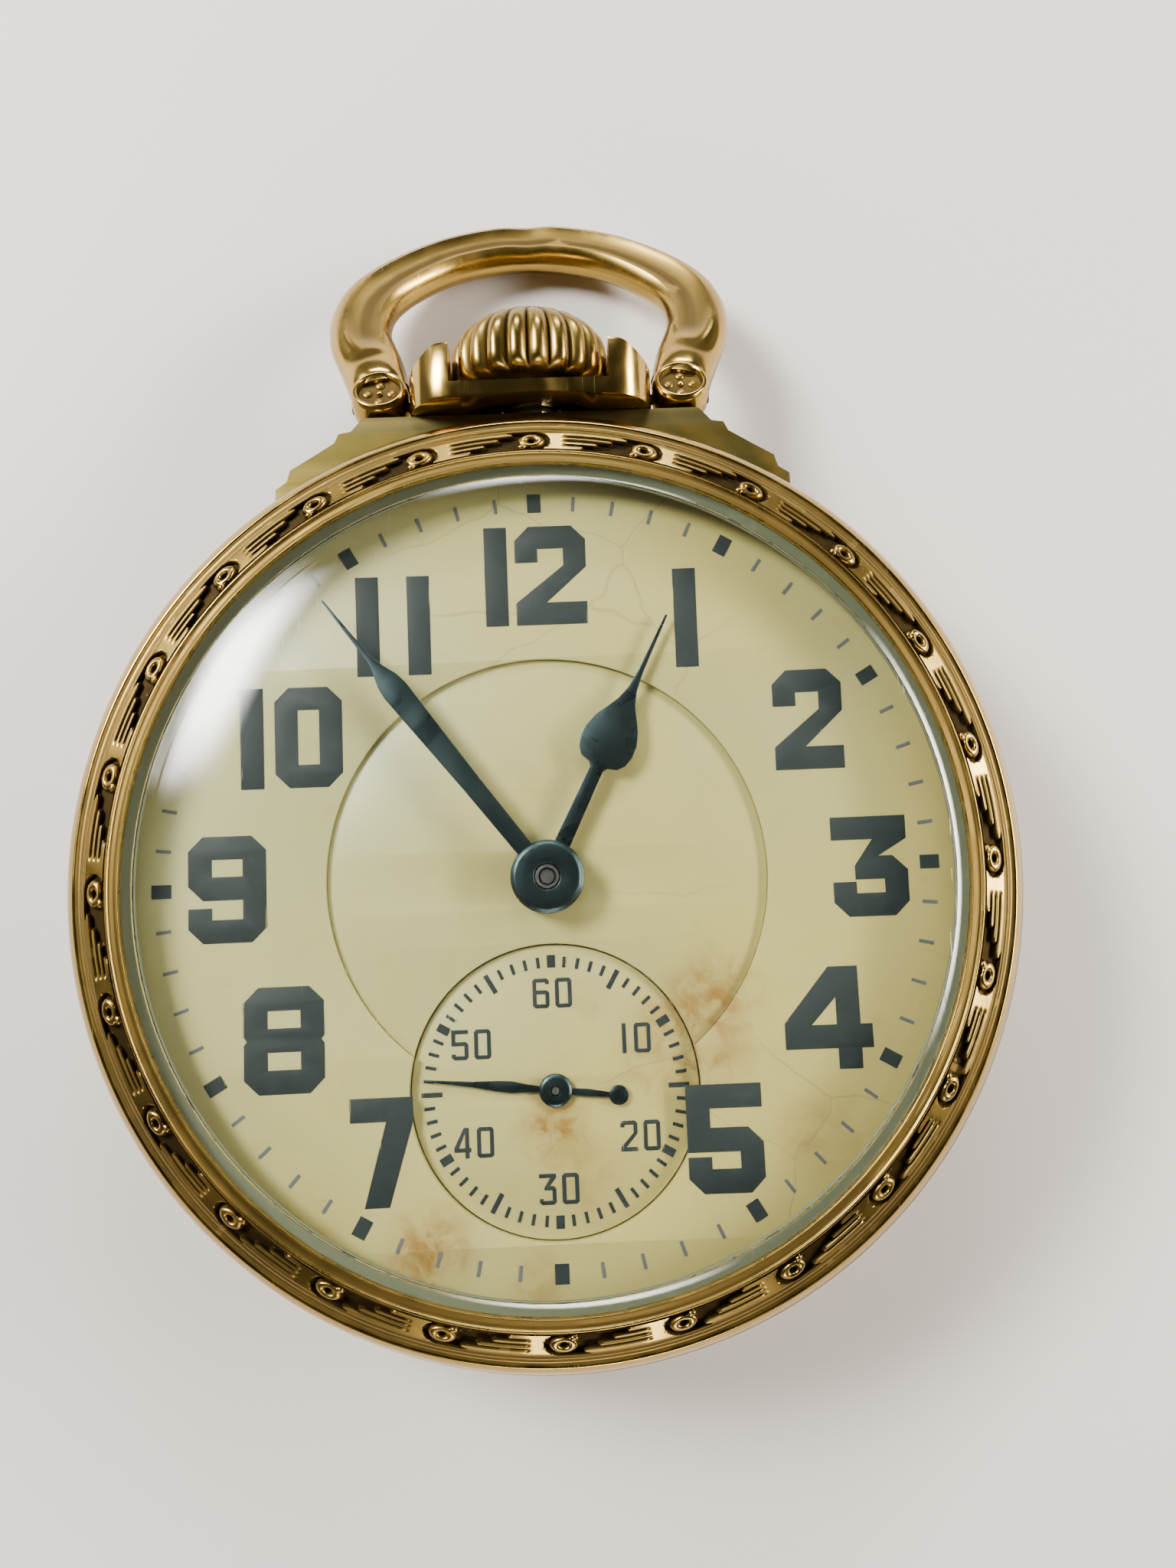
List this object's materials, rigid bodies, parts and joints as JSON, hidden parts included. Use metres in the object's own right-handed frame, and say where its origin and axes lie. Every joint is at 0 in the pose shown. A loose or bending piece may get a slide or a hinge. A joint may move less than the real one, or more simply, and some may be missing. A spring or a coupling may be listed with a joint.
{
  "type": "open-face pocket watch",
  "caption": "Round open-face pocket watch with a screw bezel and back, fluted winding crown, swinging bow, sunk seconds dial and lever-set movement.",
  "frame": {"origin": "on the dial axis, in the flat face of the back cover that the watch lies on", "axes": "+Z rises through the dial to the crystal, +Y points to 12 o'clock and the crown, +X to 3 o'clock"},
  "size_m": [0.0508, 0.0656, 0.0142],
  "materials": {
    "case_gold": "polished yellow gold with fine wear",
    "crystal_glass": "clear, lightly scratched",
    "enamel": "aged glossy enamel on copper",
    "blued_steel": "blued and polished",
    "steel": "polished",
    "nickel": "damaskeened nickel",
    "wheel_brass": "gilt, circular grained",
    "ruby": "polished"
  },
  "bodies": {
    "back": {"back_cover": "case_gold"},
    "case": {"case_band": "case_gold", "pendant_neck": "case_gold", "pendant_sleeve": "steel", "bow_screw_left": "steel", "bow_screw_right": "steel", "dial_ring": "enamel", "dial_centre": "enamel", "seconds_dial": "enamel", "pillar_plate": "nickel", "barrel_bridge": "nickel", "train_bridge": "nickel", "balance_cock": "nickel", "pallet_cock": "nickel", "centre_jewel": "ruby", "third_jewel": "ruby", "fourth_jewel": "ruby", "escape_jewel": "ruby", "balance_jewel": "ruby", "balance_cock_screw": "blued_steel", "barrel_bridge_screw_1": "blued_steel", "barrel_bridge_screw_2": "blued_steel", "train_bridge_screw_1": "blued_steel", "train_bridge_screw_2": "blued_steel", "case_screw_1": "blued_steel", "case_screw_2": "blued_steel", "hairspring": "blued_steel"},
    "bezel_ring": {"bezel": "case_gold", "crystal": "crystal_glass"},
    "bow_loop": {"bow": "case_gold"},
    "winder": {"crown": "case_gold", "winding_stem": "steel", "winding_pinion": "steel", "clutch": "steel"},
    "crown_wheel_assembly": {"crown_wheel": "steel"},
    "ratchet": {"ratchet_wheel": "steel", "barrel_arbor": "steel"},
    "click_pawl": {"click": "steel"},
    "setting": {"setting_lever": "steel"},
    "minute": {"minute_hand": "blued_steel", "cannon_pinion": "steel", "centre_wheel": "wheel_brass", "centre_pinion": "steel"},
    "hour": {"hour_hand": "blued_steel", "hour_wheel": "wheel_brass"},
    "motion": {"minute_wheel": "wheel_brass"},
    "third": {"third_wheel": "wheel_brass", "third_pinion": "steel"},
    "seconds": {"seconds_hand": "blued_steel", "fourth_wheel": "wheel_brass", "fourth_pinion": "steel"},
    "mainspring_barrel": {"barrel": "wheel_brass", "barrel_cover": "wheel_brass", "mainspring": "blued_steel"},
    "escape": {"escape_wheel": "steel", "escape_pinion": "steel"},
    "fork": {"pallet_fork": "steel"},
    "balance": {"balance_wheel": "wheel_brass", "balance_staff": "steel"},
    "rate_regulator": {"regulator": "steel"}
  },
  "joints": [
    {"name": "case_unscrews_from_back", "type": "slide", "parent": "back", "child": "case", "axis": [0, 0, 1], "range_m": [0, 0.025]},
    {"name": "bezel_unscrews", "type": "slide", "parent": "case", "child": "bezel_ring", "axis": [0, 0, 1], "range_m": [0, 0.015]},
    {"name": "bow_swing", "type": "hinge", "parent": "case", "child": "bow_loop", "pos_m": [0, 0.0265, 0.0072], "axis": [1, 0, 0], "range_deg": [0, 100]},
    {"name": "crown_turn", "type": "hinge", "parent": "case", "child": "winder", "pos_m": [0, 0.027, 0.0072], "axis": [0, 1, 0], "continuous": true},
    {"name": "crown_wheel_turn", "type": "hinge", "parent": "case", "child": "crown_wheel_assembly", "pos_m": [0, 0.0148, 0.0026], "axis": [0, 0, 1], "continuous": true},
    {"name": "ratchet_turn", "type": "hinge", "parent": "case", "child": "ratchet", "pos_m": [-0.00829, 0.00581, 0.0026], "axis": [0, 0, 1], "continuous": true},
    {"name": "click_lift", "type": "hinge", "parent": "case", "child": "click_pawl", "pos_m": [-0.01062, 0.0145, 0.0026], "axis": [0, 0, -1], "range_deg": [0, 8]},
    {"name": "setting_lever_pull", "type": "slide", "parent": "case", "child": "setting", "axis": [0.5, 0.866, 0], "range_m": [0, 0.0022]},
    {"name": "minute_turn", "type": "hinge", "parent": "case", "child": "minute", "pos_m": [0, 0, 0.01], "axis": [0, 0, -1], "continuous": true},
    {"name": "hour_turn", "type": "hinge", "parent": "case", "child": "hour", "pos_m": [0, 0, 0.01], "axis": [0, 0, -1], "continuous": true},
    {"name": "minute_wheel_turn", "type": "hinge", "parent": "case", "child": "motion", "pos_m": [0.00276, 0.00231, 0.008], "axis": [0, 0, -1], "continuous": true},
    {"name": "third_wheel_turn", "type": "hinge", "parent": "case", "child": "third", "pos_m": [0.00411, -0.00645, 0.005], "axis": [0, 0, -1], "continuous": true},
    {"name": "seconds_turn", "type": "hinge", "parent": "case", "child": "seconds", "pos_m": [0, -0.01076, 0.005], "axis": [0, 0, -1], "continuous": true},
    {"name": "barrel_turn", "type": "hinge", "parent": "case", "child": "mainspring_barrel", "pos_m": [-0.00829, 0.00581, 0.0026], "axis": [0, 0, -1], "continuous": true},
    {"name": "escape_wheel_turn", "type": "hinge", "parent": "case", "child": "escape", "pos_m": [-0.00278, -0.01473, 0.006], "axis": [0, 0, -1], "continuous": true},
    {"name": "pallet_fork_swing", "type": "hinge", "parent": "case", "child": "fork", "pos_m": [-0.00524, -0.01302, 0.006], "axis": [0, 0, 1], "range_deg": [-5, 5]},
    {"name": "balance_swing", "type": "hinge", "parent": "case", "child": "balance", "pos_m": [-0.0096, -0.01, 0.0039], "axis": [0, 0, 1], "range_deg": [-270, 270]},
    {"name": "regulator_turn", "type": "hinge", "parent": "case", "child": "rate_regulator", "pos_m": [-0.0096, -0.01, 0.0019], "axis": [0, 0, 1], "range_deg": [-10, 10]}
  ],
  "couplings": [
    {"joint": "crown_wheel_turn", "follows": "crown_turn", "ratio": 0.5},
    {"joint": "ratchet_turn", "follows": "crown_turn", "ratio": -0.33333},
    {"joint": "hour_turn", "follows": "minute_turn", "ratio": 0.083333},
    {"joint": "minute_wheel_turn", "follows": "minute_turn", "ratio": -0.33333},
    {"joint": "third_wheel_turn", "follows": "minute_turn", "ratio": -8},
    {"joint": "seconds_turn", "follows": "minute_turn", "ratio": 60},
    {"joint": "barrel_turn", "follows": "minute_turn", "ratio": -0.15385}
  ]
}
